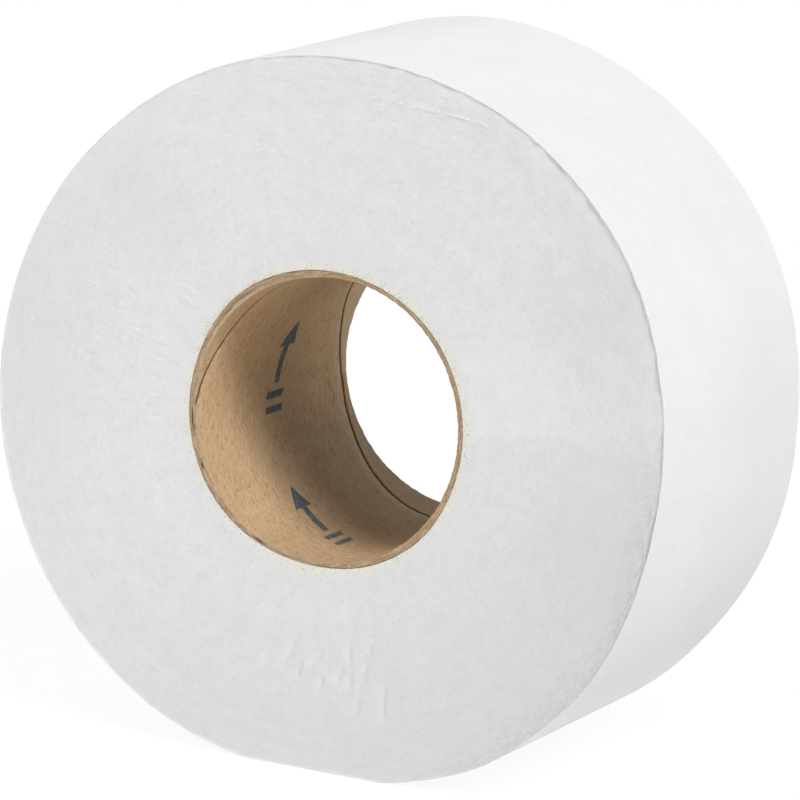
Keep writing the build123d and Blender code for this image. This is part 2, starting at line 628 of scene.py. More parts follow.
def new_group(name, inputs, output, output_kind="NodeSocketFloat"):
    """Starts a shader node group with number or colour inputs and one output."""
    tree = bpy.data.node_groups.new(name, "ShaderNodeTree")
    for socket_name, default in inputs.items():
        kind = "NodeSocketFloat" if isinstance(default, float) else "NodeSocketColor"
        socket = tree.interface.new_socket(socket_name, in_out="INPUT", socket_type=kind)
        socket.default_value = default
    tree.interface.new_socket(output, in_out="OUTPUT", socket_type=output_kind)
    return tree, tree.nodes.new("NodeGroupInput"), tree.nodes.new("NodeGroupOutput")


def roll_place(tree):
    """Radius from the axis, the two parts of the direction from it, and the place along it."""
    place = add_node(tree, "ShaderNodeTexCoord").outputs["Object"]
    parts = add_node(tree, "ShaderNodeSeparateXYZ", {0: place}).outputs
    squares = [reckon(tree, "POWER", parts[axis], 2.0) for axis in "XZ"]
    radius = reckon(tree, "SQRT", reckon(tree, "ADD", *squares))
    right = reckon(tree, "DIVIDE", parts["X"], radius)
    upward = reckon(tree, "DIVIDE", parts["Z"], radius)
    return radius, right, upward, parts["Y"]


def build_turned_grain(name):
    """Noise that follows the roll: cells per radian round it, and per metre along it and out from it."""
    inputs = {"Round": 20.0, "Along": 0.0, "Out": 2000.0, "Detail": 2.0, "Shift": 0.0}
    tree, given, result = new_group(name, inputs, "Grain")
    radius, right, upward, along = roll_place(tree)
    cells = {
        "X": times(tree, right, given.outputs["Round"]),
        "Y": times(tree, upward, given.outputs["Round"]),
        "Z": times(tree, along, given.outputs["Along"]),
    }
    vector = add_node(tree, "ShaderNodeCombineXYZ", cells).outputs[0]
    depth = reckon(tree, "MULTIPLY_ADD", radius, given.outputs["Out"], given.outputs["Shift"])
    detail = given.outputs["Detail"]
    noise_inputs = {"Vector": vector, "W": depth, "Scale": 1.0, "Detail": detail, "Roughness": 0.6}
    noise = add_node(tree, "ShaderNodeTexNoise", noise_inputs, noise_dimensions="4D")
    tree.links.new(noise.outputs["Fac"], result.inputs["Grain"])


def turned_grain():
    """The node group of the turned grain."""
    return shared_group("Turned grain", build_turned_grain)


def build_fibre_flecks(name):
    """Mask of scattered flecks: where the turned grain rises over a threshold."""
    inputs = {"Round": 100.0, "Along": 0.0, "Out": 2000.0, "Shift": 0.0, "Threshold": 0.7, "Softness": 0.04}
    tree, given, result = new_group(name, inputs, "Mask")
    noise = add_node(tree, "ShaderNodeGroup", node_tree=turned_grain())
    for key in ("Round", "Along", "Out", "Shift"):
        tree.links.new(given.outputs[key], noise.inputs[key])
    noise.inputs["Detail"].default_value = 1.0
    top = reckon(tree, "ADD", given.outputs["Threshold"], given.outputs["Softness"])
    mask = rescale(tree, noise.outputs["Grain"], given.outputs["Threshold"], top)
    tree.links.new(mask, result.inputs["Mask"])


def attribute(tree, name):
    """A number stored on the mesh's points."""
    return add_node(tree, "ShaderNodeAttribute", attribute_name=name).outputs["Fac"]


def build_painted_light(name):
    """Paper given painted light where the tone stored on its points is over 0, and painted shade where it is
    under 0.
    """
    plain = (0.8, 0.8, 0.8, 1.0)
    inputs = {"Paper": plain, "Light": plain, "Shade": plain}
    tree, given, result = new_group(name, inputs, "Colour", "NodeSocketColor")
    tone = attribute(tree, "tone")
    painted_light = reckon(tree, "MAXIMUM", tone, 0.0)
    painted_shade = reckon(tree, "MAXIMUM", times(tree, tone, -1.0), 0.0)
    paper = blend_colour(tree, painted_light, given.outputs["Paper"], given.outputs["Light"])
    paper = blend_colour(tree, painted_shade, paper, given.outputs["Shade"])
    tree.links.new(paper, result.inputs["Colour"])


def with_painted_light(tree, paper, finish):
    """The paper's colour with the painted light and shade stored on its points."""
    inputs = {"Paper": paper, "Light": (*finish.tissue_pale_and_lit, 1.0), "Shade": (*finish.tissue_mottle_and_shade, 1.0)}
    group = shared_group("Painted light and shade", build_painted_light)
    return add_node(tree, "ShaderNodeGroup", inputs, node_tree=group).outputs[0]


def place_group(tree, group, values):
    """Places a node group in a material with its own values and gives its output."""
    made = add_node(tree, "ShaderNodeGroup", node_tree=group)
    for key, value in values.items():
        made.inputs[key.capitalize()].default_value = value
    return made.outputs[0]


def grain(tree, **values):
    """The turned grain with its own values."""
    return place_group(tree, turned_grain(), values)


def flecks(tree, **values):
    """The fibre flecks with their own values."""
    return place_group(tree, shared_group("Fibre flecks", build_fibre_flecks), values)


def new_material(name):
    """A material with an empty node tree."""
    material = bpy.data.materials.new(name)
    material.use_nodes = True
    material.node_tree.nodes.clear()
    return material, material.node_tree


def finish_material(tree, colour_socket, height, depth, roughness):
    """Ends a material in a matte Principled shader with bump."""
    relief = add_node(tree, "ShaderNodeBump", {"Height": height, "Distance": depth, "Strength": 1.0})
    shader = add_node(tree, "ShaderNodeBsdfPrincipled", {"Roughness": roughness, "Specular IOR Level": 0.2})
    tree.links.new(colour_socket, shader.inputs["Base Color"])
    tree.links.new(relief.outputs["Normal"], shader.inputs["Normal"])
    out = tree.nodes.new("ShaderNodeOutputMaterial")
    tree.links.new(shader.outputs["BSDF"], out.inputs["Surface"])


def tissue_end_material(finish, core):
    """Cut edges of the turns: fine broken strokes round the roll with painted shade in the gaps between
    them, painted light and shade over the face, a darker patchy band at the lower right, painted highlight
    and shadow along the pinched fold, dust and a cream tint beside the core.
    """
    material, tree = new_material("tissue_cut_edges")
    streaks = grain(tree, round=26.0, out=2100.0, detail=2.0)
    fine = grain(tree, round=150.0, out=2400.0, detail=2.0, shift=9.0)
    soft = grain(tree, round=13.0, out=170.0, detail=3.0, shift=4.0)
    patchy = grain(tree, round=27.0, out=640.0, detail=1.0, shift=6.0)
    radius, _, upward, _ = roll_place(tree)

    uneven = reckon(tree, "MULTIPLY_ADD", patchy, 0.9, reckon(tree, "MULTIPLY_ADD", soft, 1.1, fine))
    shade = rescale(tree, uneven, 1.18, 1.92, 0.0, 0.26)
    paper = blend_colour(tree, shade, finish.tissue, finish.tissue_mottle_and_shade)
    # Painted shade in the fine gaps between turns
    gap_shade_strokes = flecks(tree, round=38.0, out=2100.0, threshold=0.65, softness=0.08, shift=1.0)
    paper = cover(tree, paper, finish.tissue_mottle_and_shade, gap_shade_strokes, 0.45)
    light_strokes = flecks(tree, round=40.0, out=2000.0, threshold=0.65, softness=0.08, shift=31.0)
    paper = cover(tree, paper, finish.tissue_pale_and_lit, light_strokes, 0.75)
    # Painted light and shade stored on the points
    paper = with_painted_light(tree, paper, finish)

    # Darker, patchy turns at the lower right, with fine dark lines close to the rim
    rim_band = attribute(tree, "rim_band")
    rim_patches = grain(tree, round=230.0, out=2600.0, detail=1.0, shift=19.0)
    rim_patches = rescale(tree, rim_patches, 0.36, 0.60, 0.95, 0.04)
    rim_patches = times(tree, rim_patches, rescale(tree, patchy, 0.36, 0.58, 0.5, 1.0))
    paper = cover(tree, paper, finish.tissue_mottle_and_shade, rim_band, rim_patches)
    beside_rim = times(tree, rescale(tree, rim_band, 0.84, 1.0), rescale(tree, upward, -0.7, -0.4))
    lines = rescale(tree, streaks, 0.50, 0.38, 0.0, 0.6)
    paper = cover(tree, paper, darker(0.85, finish.tissue_mottle_and_shade), beside_rim, lines)

    # The pinched fold shows as broken dashes: painted highlight on its crest and painted shadow just inside
    # it.
    past_fold = attribute(tree, "past_fold")
    folded = attribute(tree, "fold")
    crest = times(tree, folded, rescale(tree, reckon(tree, "ABSOLUTE", past_fold), 0.40, 0.10))
    highlight_dashes = rescale(tree, grain(tree, round=55.0, out=0.0, detail=1.0, shift=12.0), 0.42, 0.52)
    crest = times(tree, crest, highlight_dashes)
    paper = cover(tree, paper, finish.tissue_pale_and_lit, crest)
    below = reckon(tree, "ABSOLUTE", reckon(tree, "ADD", past_fold, 0.35))
    under = times(tree, folded, rescale(tree, below, 0.30, 0.08))
    shadow_dashes = grain(tree, round=70.0, out=0.0, detail=1.0, shift=15.0)
    paper = cover(tree, paper, finish.tissue_mottle_and_shade, under, rescale(tree, shadow_dashes, 0.48, 0.60, 0.0, 0.42))

    # A cream tint, fibres and dust beside the core
    reach = core.radius + 3.2 * MM
    beside_core = rescale(tree, radius, reach, core.radius + 0.3 * MM)
    paper = cover(tree, paper, finish.core_stain, beside_core, rescale(tree, patchy, 0.35, 0.62, 0.15, 1.0))
    core_dust = flecks(tree, round=90.0, out=2300.0, threshold=0.62, softness=0.05, shift=2.0)
    paper = cover(tree, paper, finish.dust, core_dust, rescale(tree, radius, reach, core.radius, 0.0, 0.6))
    specks = flecks(tree, round=130.0, out=1800.0, threshold=0.745, softness=0.03, shift=7.0)
    paper = cover(tree, paper, finish.dust, specks, 0.22)

    height = reckon(tree, "MULTIPLY_ADD", crest, 1.6, reckon(tree, "MULTIPLY_ADD", streaks, 0.7, fine))
    finish_material(tree, paper, height, 0.05 * MM, 0.92)
    return material


def tissue_wrap_material(finish):
    """Face of the sheet on the outside: faint crepe lines along the roll, speckle and slow shade."""
    material, tree = new_material("tissue_face")
    crepe = grain(tree, round=210.0, along=110.0, out=0.0, detail=2.0)
    speckle = grain(tree, round=260.0, along=2700.0, out=0.0, detail=2.0, shift=3.0)
    soft = grain(tree, round=6.0, along=38.0, out=0.0, detail=2.0, shift=6.0)
    dapple = grain(tree, round=95.0, along=900.0, out=0.0, detail=1.0, shift=8.0)
    uneven = reckon(tree, "MULTIPLY_ADD", dapple, 0.8, reckon(tree, "MULTIPLY_ADD", soft, 0.6, speckle))
    shade = rescale(tree, uneven, 0.92, 1.50, 0.0, 0.22)
    paper = with_painted_light(tree, blend_colour(tree, shade, finish.tissue, finish.tissue_mottle_and_shade), finish)
    height = reckon(tree, "MULTIPLY_ADD", crepe, 0.8, speckle)
    finish_material(tree, paper, height, 0.035 * MM, 0.95)
    return material


# Print on the inner ply: a plain arrow and two bars, repeated along the ply
PRINT_PITCH = 45.2 * MM
PRINT_START = 8.3 * MM
PRINT_LINE = 45.9 * MM
PRINT_BLUR = 0.25 * MM
SHAFT_START = -5.0 * MM
SHAFT_HALF_WIDTH = 1.5 * MM
HEAD_START = 5.0 * MM
HEAD_TIP = 12.5 * MM
HEAD_SLOPE = 0.62
BAR_STARTS = (-8.8 * MM, -12.6 * MM)
BAR_WIDTH = 1.9 * MM
BAR_HALF_LENGTH = 4.8 * MM


def print_mask(tree, along, across):
    """Mask of the arrow and bars, from places along and across the ply."""
    from_start = reckon(tree, "SUBTRACT", along, PRINT_START)
    run = reckon(tree, "WRAP", from_start, PRINT_PITCH / 2, -PRINT_PITCH / 2)
    off = reckon(tree, "ABSOLUTE", reckon(tree, "SUBTRACT", across, PRINT_LINE))

    def inside(value, start, end):
        rising = rescale(tree, value, start - PRINT_BLUR, start + PRINT_BLUR)
        falling = rescale(tree, value, end + PRINT_BLUR, end - PRINT_BLUR)
        return times(tree, rising, falling)

    shaft = times(tree, inside(run, SHAFT_START, HEAD_START + MM), inside(off, -MM, SHAFT_HALF_WIDTH))
    head_width = times(tree, reckon(tree, "SUBTRACT", HEAD_TIP, run), HEAD_SLOPE)
    head_side = rescale(tree, reckon(tree, "SUBTRACT", off, head_width), PRINT_BLUR, -PRINT_BLUR)
    head = times(tree, inside(run, HEAD_START, HEAD_TIP), head_side)
    bars = reckon(tree, "ADD", *[inside(run, start, start + BAR_WIDTH) for start in BAR_STARTS])
    bars = times(tree, bars, inside(off, -MM, BAR_HALF_LENGTH))
    return reckon(tree, "MAXIMUM", reckon(tree, "MAXIMUM", shaft, head), bars)


def card_wall_material(finish):
    """Kraft card of the inner ply: fibres that run along the ply, painted shade deeper inside, along the
    bottom and in the seam's gap, and worn print.
    """
    material, tree = new_material("kraft_card")
    ply = add_node(tree, "ShaderNodeUVMap", uv_map="Ply").outputs["UV"]
    parts = add_node(tree, "ShaderNodeSeparateXYZ", {0: ply}).outputs

    def ply_noise(lengthwise, crosswise, detail, warp=0.0):
        scale = {0: ply, 1: (lengthwise, crosswise, 0.0)}
        cells = add_node(tree, "ShaderNodeVectorMath", scale, operation="MULTIPLY").outputs[0]
        inputs = {"Vector": cells, "Scale": 1.0, "Detail": detail, "Roughness": 0.6, "Distortion": warp}
        return add_node(tree, "ShaderNodeTexNoise", inputs).outputs["Fac"]

    pulp = ply_noise(420.0, 900.0, 4.0)
    pale_flecks = ply_noise(300.0, 800.0, 2.0, 1.1)
    dark_flecks = ply_noise(400.0, 950.0, 2.0, 1.5)
    clouds = ply_noise(35.0, 60.0, 2.0)
    _, _, upward, along = roll_place(tree)

    # Painted shade deeper inside, less so near the top and far inside the upper half, where light comes in
    # from behind, and painted shade along the bottom in the cut card's browner colour
    depth_shade = times(tree, rescale(tree, along, -27 * MM, 5 * MM), rescale(tree, upward, 0.7, -0.6, 0.35, 1.0))
    light_from_behind = times(tree, rescale(tree, along, 5 * MM, 30 * MM), rescale(tree, upward, -0.7, 0.0))
    depth_shade = times(tree, depth_shade, rescale(tree, light_from_behind, 0.0, 1.0, 1.0, 0.35))
    bottom_shade = rescale(tree, upward, -0.75, -1.0, 0.0, 0.5)
    card = blend_colour(tree, bottom_shade, finish.card, finish.card_cut)
    card = cover(tree, card, finish.card_painted_shade, depth_shade)
    card = cover(tree, card, finish.card_dark, rescale(tree, pulp, 0.30, 0.75, 0.0, 0.34))
    card = cover(tree, card, finish.card_dark, rescale(tree, clouds, 0.35, 0.7, 0.0, 0.14))
    lit = rescale(tree, depth_shade, 0.0, 0.5, 0.6, 0.15)
    card = cover(tree, card, finish.card_pale, rescale(tree, pale_flecks, 0.56, 0.70), lit)
    card = cover(tree, card, finish.card_dark, rescale(tree, dark_flecks, 0.58, 0.67, 0.0, 0.62))
    card = cover(tree, card, finish.card_pale, attribute(tree, "pale"), 0.5)
    worn = rescale(tree, dark_flecks, 0.32, 0.46, 0.5, 0.95)
    card = cover(tree, card, finish.ink, print_mask(tree, parts["X"], parts["Y"]), worn)
    # Painted shade in the seam's gap
    seam = rescale(tree, attribute(tree, "gap"), 0.15, 0.55, 0.0, 0.95)
    card = cover(tree, card, darker(0.45, finish.card_dark), seam)

    height = reckon(tree, "MULTIPLY_ADD", pulp, 0.8, pale_flecks)
    finish_material(tree, card, height, 0.08 * MM, 0.86)
    return material


def card_cut_material(finish):
    """Cut edge of the card: torn fibre, thin ply lines, painted shade in the gaps between plies and a
    painted highlight on the lit edge of the inner ply.
    """
    material, tree = new_material("kraft_card_cut")
    plies = grain(tree, round=12.0, along=0.0, out=1900.0, detail=2.0)
    torn = grain(tree, round=60.0, along=1200.0, out=2200.0, detail=3.0, shift=5.0)
    card = blend_colour(tree, rescale(tree, plies, 0.42, 0.66, 0.0, 0.5), finish.card_cut, finish.card_pale)
    card = cover(tree, card, finish.card_dark, rescale(tree, torn, 0.46, 0.70, 0.0, 0.6))
    # Painted highlight on the lit edge of the inner ply
    card = cover(tree, card, finish.card_pale, attribute(tree, "pale"))
    # Painted shade in the gaps between plies
    card = cover(tree, card, darker(0.4, finish.card_dark), attribute(tree, "gap"))
    height = reckon(tree, "ADD", torn, plies)
    finish_material(tree, card, height, 0.20 * MM, 0.92)
    return material


def card_fibre_material(finish):
    """Loose card fibres, from dark dust to pale card."""
    material, tree = new_material("card_fibre")
    tone = grain(tree, round=60.0, along=0.0, out=900.0, detail=1.0)
    card = blend_colour(tree, rescale(tree, tone, 0.35, 0.60), finish.dust, finish.card_pale)
    finish_material(tree, card, tone, 0.02 * MM, 0.9)
    return material


# Pieces


class ROLL_OT_paper_winding(bpy.types.Operator):
    """Builds the wound tissue as one closed ring, with the turns, wrinkles and lip on its end faces"""

    bl_idname = "paper_roll.paper_winding"
    bl_label = "Wound tissue"

    def execute(self, context):
        shape = context.scene.roll_winding
        core = context.scene.roll_core
        finish = context.scene.roll_finish
        points, (front, wrap, _), marks = winding_points(shape, core)
        faces = grid_faces(len(points), shape.columns, close_rows=True, close_columns=True)
        materials = [tissue_end_material(finish, core), tissue_wrap_material(finish)]
        piece = new_piece("paper_winding", points, faces, materials)
        row = np.arange(len(faces)) // shape.columns
        on_wrap = (row >= front - 1) & (row < front + wrap)
        piece.data.polygons.foreach_set("material_index", on_wrap.astype(np.int32))
        for name, values in marks.items():
            mark_points(piece.data, name, values)
        piece.data.set_sharp_from_angle(angle=SHARP_PAPER)
        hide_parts("paper_winding")
        return {"FINISHED"}


def sheet_faces(rows, columns):
    """Faces of a closed thin sheet: a grid of points above, the same grid below, and the edge between."""
    top = grid_faces(rows, columns)
    edge = boundary_loop(rows, columns)
    following = np.roll(edge, -1)
    below = rows * columns
    sides = np.stack((edge, following, following + below, edge + below), axis=-1)
    return np.concatenate((top, top[:, ::-1] + below, sides))


def loose_end_surface(shape):
    """Radius, angle and place along the roll of the loose end's outer face, up to its torn edge."""
    run = np.linspace(0.0, 1.0, 90)[:, None]
    along = np.linspace(-1.0, 1.0, 181) * (shape.half_width - 0.25 * MM)
    tufts = 0.30 * MM * np.maximum(np.cos(along / (5.2 * MM) * tau), 0.0) ** 6
    wander = 0.5 * MM * soft_noise(0 * along, along / (18 * MM) + 4, 3, 41)
    end = shape.tail_angle + (tufts + wander) / shape.radius
    theta = end - shape.tail_lap * (1 - run)
    along = np.broadcast_to(along, theta.shape)

    # The sheet comes out of the turn below and lifts a little at its torn edge.
    sunk = 0.15 * MM * ramp(run, 0.35, 0.0)
    curl = shape.tail_curl * ramp(run, 0.90, 1.02) * ramp(along + shape.half_width, 0.0, 25 * MM)
    lift = curl * (1 + 0.6 * soft_noise(0 * theta, along / (14 * MM) + 6, 3, 42)) - sunk
    return rim_radius(theta, along, shape) + wrap_wobble(theta, along) + lift, theta, along


class ROLL_OT_loose_end(bpy.types.Operator):
    """Builds the loose end of the sheet, lying on the turn below, with its torn perforated edge"""

    bl_idname = "paper_roll.loose_end"
    bl_label = "Loose end"

    def execute(self, context):
        shape = context.scene.roll_winding
        radius, theta, along = loose_end_surface(shape)
        points = np.stack((on_roll(radius, theta, along), on_roll(radius - shape.sheet, theta, along)))
        faces = sheet_faces(*theta.shape)
        piece = new_piece("loose_end", points, faces, [bpy.data.materials["tissue_face"]])
        piece.data.set_sharp_from_angle(angle=SHARP_PAPER)
        return {"FINISHED"}


# Ply gaps in the front cut edge: place and half length in degrees, and how far they have opened
PLY_GAPS = ((188.0, 6.0, 1.0), (206.5, 1.5, 1.0), (244.0, 3.5, 1.0), (138.0, 26.0, 0.4))


def ply_gap(theta):
    """Where the plies have parted at the front edge, from 0 to 1."""
    return sum(opened * bump(theta, place, half) ** 2 for place, half, opened in PLY_GAPS)


def core_end(theta, core, end, across):
    """Radius, place along the axis and gap mask of a cut end; across runs from the bore to the outside."""
    front = 1.0 if end < 0 else 0.0
    rough = core.ragged * soft_noise(theta, across * 6 + 3, 240, 51 if front else 52)
    rough = rough + 0.6 * core.ragged * soft_noise(theta, across * 2 + 9, 60, 53 if front else 54)
    gap = front * ply_gap(theta) * np.exp(-(((across - 0.55) / 0.14) ** 2))
    inner = core.bore + front * swell(theta, CORE_MOUTH)
    inner = inner + 0.6 * core.ragged * soft_noise(theta, 0 * theta + 5, 190, 55)
    outer = core.radius + front * core_spread(theta)
    outer = outer - 0.9 * core.ragged * np.maximum(soft_noise(theta, 0 * theta + 7, 150, 56), 0.0)
    radius = inner + (outer - inner) * across + 0.5 * rough * across * (1 - across) * 4
    corner = 0.16 * MM * (2 * across - 1) ** 8
    along = end * (core.half_length - corner - 0.55 * MM * gap + rough)
    return radius, along, gap


def core_shell_points(core):
    """Rings of points over the front cut edge, the outside and the far cut edge, with their marks."""
    theta = core.seam_start - np.arange(core.columns) / core.columns * tau
    across = np.linspace(0.0, 1.0, 11)[:, None]
    front = core_end(theta, core, -1, across)
    back = core_end(theta, core, 1, across[::-1])
    points = np.concatenate([on_roll(radius, theta, along) for radius, along, _ in (front, back)])
    gap = np.concatenate([np.broadcast_to(mask, (len(across), len(theta))) for _, _, mask in (front, back)])
    # Painted highlight on the lit edge of the inner ply, at the upper left of the front cut
    lit_ply_edge = 0.55 * bump(theta, 140, 22) * ramp(across, 0.34, 0.14)
    return points, {"gap": gap, "pale": np.concatenate((lit_ply_edge, 0 * lit_ply_edge))}


# Depth in millimetres of the inner ply's seam as it goes round, in degrees from where it starts,
# over the first turn and over the second, where it fades out
SEAM_FIRST_TURN = (
    (0, 0), (5, 0.2), (13, 2.0), (25, 5.7), (36, 9.2), (55, 13.4), (285, 74), (310, 79.3), (330, 83.8),
    (345, 86.1), (357, 87), (360, 86.95),
)
SEAM_SECOND_TURN = (
    (0, 86.95), (10, 86), (20, 84.2), (40, 78.4), (65, 72.5), (90, 68.5), (130, 66.5), (200, 75),
    (284, 84), (340, 88.5), (360, 90),
)
SEAM_REACH = 90 * MM        # length of the wall that those depths are given for
WALL_ROWS = 19              # rows of mesh points in each strip of the wall


def core_wall_points(core):
    """Points, ply places and marks of the inner wall: three strips of the inner ply, parted by its seam."""
    turn = np.arange(core.columns + 1) / core.columns
    theta = core.seam_start - turn * tau
    front_radius, start, _ = (part[0] for part in core_end(theta, core, -1, np.zeros((1, 1))))
    stop = core_end(theta, core, 1, np.zeros((1, 1)))[1][0]
    scale = (stop - start) / SEAM_REACH
    first = start + path_curve(SEAM_FIRST_TURN, turn * 360) * MM * scale
    second = start + path_curve(SEAM_SECOND_TURN, turn * 360) * MM * scale
    first_open = np.clip(turn * 40, 0.0, 1.0)
    second_open = ramp(turn, 0.30, 0.22)
    step = np.linspace(0.0, 1.0, WALL_ROWS)[:, None]

    def strip(low, high):
        return low + (np.maximum(high, low) - low) * step

    half = core.seam_width / 2
    wide = half * (1 + 0.5 * ramp(turn, 0.35, 0.15))
    near = strip(start, first - wide * first_open)
    middle = strip(np.minimum(first + wide * first_open, stop), second - half * second_open)
    far = strip(np.minimum(second + half * second_open, stop), stop)
    along = np.concatenate((near, first[None], first[None], middle, second[None], second[None], far))

    # The front end's spread dies away inside, and the wall is very slightly uneven.
    from_front = along - start
    inside = ramp(from_front, 0.0, 8 * MM) * ramp(stop - along, 0.0, 8 * MM)
    radius = core.bore + (front_radius - core.bore) * np.exp(-((from_front / (3.5 * MM)) ** 2))
    radius = radius + 0.10 * MM * soft_noise(theta, along / (30 * MM) + 9, 12, 62) * inside

    # One edge stands proud along each seam, and the seam itself is sunk.
    gap = np.zeros_like(along)
    for row, seam, opened in ((WALL_ROWS, first, first_open), (2 * WALL_ROWS + 2, second, second_open)):
        beside = slice(row + 2, row + 2 + WALL_ROWS)
        radius[beside] -= core.ply_step * opened * np.exp(-(((along[beside] - seam) / (2.5 * MM)) ** 2))
        gap[row : row + 2] = opened
        radius[row : row + 2] += core.seam_depth * opened

    sizes = (WALL_ROWS + 1, WALL_ROWS + 2, WALL_ROWS + 1)
    ply_turns = turn + np.repeat((-1.0, 0.0, 1.0), sizes)[:, None]
    ply = np.stack((core.bore * tau * ply_turns, from_front - core.ply_lead * ply_turns), axis=-1)
    pale = np.zeros_like(along)
    pale[-WALL_ROWS:] = second_open
    return on_roll(radius, theta, along), ply, {"gap": gap, "pale": pale}


class ROLL_OT_core_tube(bpy.types.Operator):
    """Builds the card core: ragged cut ends, parted plies, and the inner ply's spiral seam"""

    bl_idname = "paper_roll.core_tube"
    bl_label = "Card core"

    def execute(self, context):
        core = context.scene.roll_core
        finish = context.scene.roll_finish
        shell, shell_marks = core_shell_points(core)
        wall, ply, wall_marks = core_wall_points(core)
        shell_faces = grid_faces(len(shell), core.columns, close_columns=True)
        wall_faces = grid_faces(len(wall), core.columns + 1) + len(shell) * core.columns
        row = np.arange(len(wall_faces)) // core.columns
        wall_faces = wall_faces[(row != WALL_ROWS) & (row != 2 * WALL_ROWS + 2)]
        points = np.concatenate((shell.reshape(-1, 3), wall.reshape(-1, 3)))
        faces = np.concatenate((shell_faces[:, ::-1], wall_faces))
        materials = [card_wall_material(finish), card_cut_material(finish)]
        piece = new_piece("core_tube", points, faces, materials)
        mesh = piece.data
        is_cut = np.arange(len(faces)) < len(shell_faces)
        mesh.polygons.foreach_set("material_index", is_cut.astype(np.int32))
        places = np.concatenate((np.zeros((len(shell) * core.columns, 2)), ply.reshape(-1, 2)))
        uv = mesh.uv_layers.new(name="Ply")
        uv.uv.foreach_set("vector", places[faces.ravel()].astype(np.float32).ravel())
        for name, values in wall_marks.items():
            mark_points(mesh, name, np.concatenate((shell_marks[name].ravel(), values.ravel())))
        join_points(mesh)
        mesh.set_sharp_from_angle(angle=SHARP_CARD)
        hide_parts("core_tube")
        return {"FINISHED"}


FIBRE_JOINTS = 4            # places where a loose fibre bends


def add_fibre(points, faces, random, core, shape, end):
    """Adds one curved fibre, a thin three-sided rod lying on an end face beside the core."""
    torn_side = end < 0 and random.uniform() < 0.35
    theta = random.normal(radians(140), radians(22)) if torn_side else random.uniform(0.0, tau)
    spread = core_spread(np.array([theta]))[0] if end < 0 else 0.0
    root = core.radius + spread + abs(random.normal(0.0, 0.8)) * MM
    size = random.uniform(0.25, 1.1) * MM
    heading = random.normal(0.0, 1.0)
    bend = random.normal(0.0, 0.8)
    thick = random.uniform(0.03, 0.065) * MM
    proud = shape.half_width + random.uniform(0.05, 0.25) * MM
    start = len(points)
    radius, turn = root, theta
    for joint in range(FIBRE_JOINTS):
        taper = thick * (1.0 - 0.7 * joint / (FIBRE_JOINTS - 1))
        for corner in range(3):
            side = corner * tau / 3
            out = radius + taper * np.cos(side)
            points.append((out * np.cos(turn), end * (proud + taper * np.sin(side)), out * np.sin(turn)))
        step = size / (FIBRE_JOINTS - 1)
        radius += step * np.cos(heading)
        turn += step * np.sin(heading) / radius
        heading += bend / FIBRE_JOINTS
    for joint in range(FIBRE_JOINTS - 1):
        low = start + 3 * joint
        for corner in range(3):
            beside = (corner + 1) % 3
            faces.append((low + corner, low + beside, low + 3 + beside, low + 3 + corner))
    faces.append((start, start + 2, start + 1))
    top = start + 3 * (FIBRE_JOINTS - 1)
    faces.append((top, top + 1, top + 2))


class ROLL_OT_core_fibres(bpy.types.Operator):
    """Scatters loose card fibres over the tissue beside the core, as the saw leaves them"""

    bl_idname = "paper_roll.core_fibres"
    bl_label = "Loose card fibres"

    def execute(self, context):
        core = context.scene.roll_core
        shape = context.scene.roll_winding
        random = np.random.default_rng(71)
        points, faces = [], []
        for end in (-1, 1):
            for _ in range(core.fibres):
                add_fibre(points, faces, random, core, shape, end)
        material = card_fibre_material(context.scene.roll_finish)
        new_piece("core_fibres", np.array(points), faces, [material])
        return {"FINISHED"}


# Stage, with its lengths in metres
FLOOR_REACH = 6.0
KEY_DISTANCE = 2.0
FILL_DISTANCE = 0.70
FILL_SIZE = 0.4
FILL_DIRECTION = Vector((-0.60, -0.45, 0.75)).normalized()


def from_axis(turn, lean):
    """Direction that leans away from the front of the roll's axis, at a place round it."""
    across = np.sin(lean)
    return Vector((across * np.cos(turn), -np.cos(lean), across * np.sin(turn)))


def looked_at(tree):
    """1 for rays that show what they meet, and 0 for rays that only carry light."""
    path = tree.nodes.new("ShaderNodeLightPath")
    seen = reckon(tree, "MAXIMUM", path.outputs["Is Camera Ray"], path.outputs["Is Glossy Ray"])
    return reckon(tree, "MAXIMUM", seen, path.outputs["Is Transmission Ray"])


def floor_material(stage):
    """Pale floor that the camera sees as white, with the roll's soft shadow."""
    material, tree = new_material("pale_floor")
    bounce = add_node(tree, "ShaderNodeBsdfDiffuse", {"Color": (stage.floor,) * 3 + (1.0,)})
    shaded = add_node(tree, "ShaderNodeBsdfDiffuse", {"Color": (stage.shadow,) * 3 + (1.0,)})
    key = stage.key / pi * from_axis(stage.key_turn, stage.key_lean).z
    glow_inputs = {"Color": (1.0, 1.0, 1.0, 1.0), "Strength": 1.0 - stage.shadow * (stage.ambient + key)}
    glow = add_node(tree, "ShaderNodeEmission", glow_inputs)
    seen = add_node(tree, "ShaderNodeAddShader", {0: shaded.outputs[0], 1: glow.outputs[0]})
    mix_inputs = {0: looked_at(tree), 1: bounce.outputs[0], 2: seen.outputs[0]}
    mix = add_node(tree, "ShaderNodeMixShader", mix_inputs)
    out = tree.nodes.new("ShaderNodeOutputMaterial")
    tree.links.new(mix.outputs[0], out.inputs["Surface"])
    return material


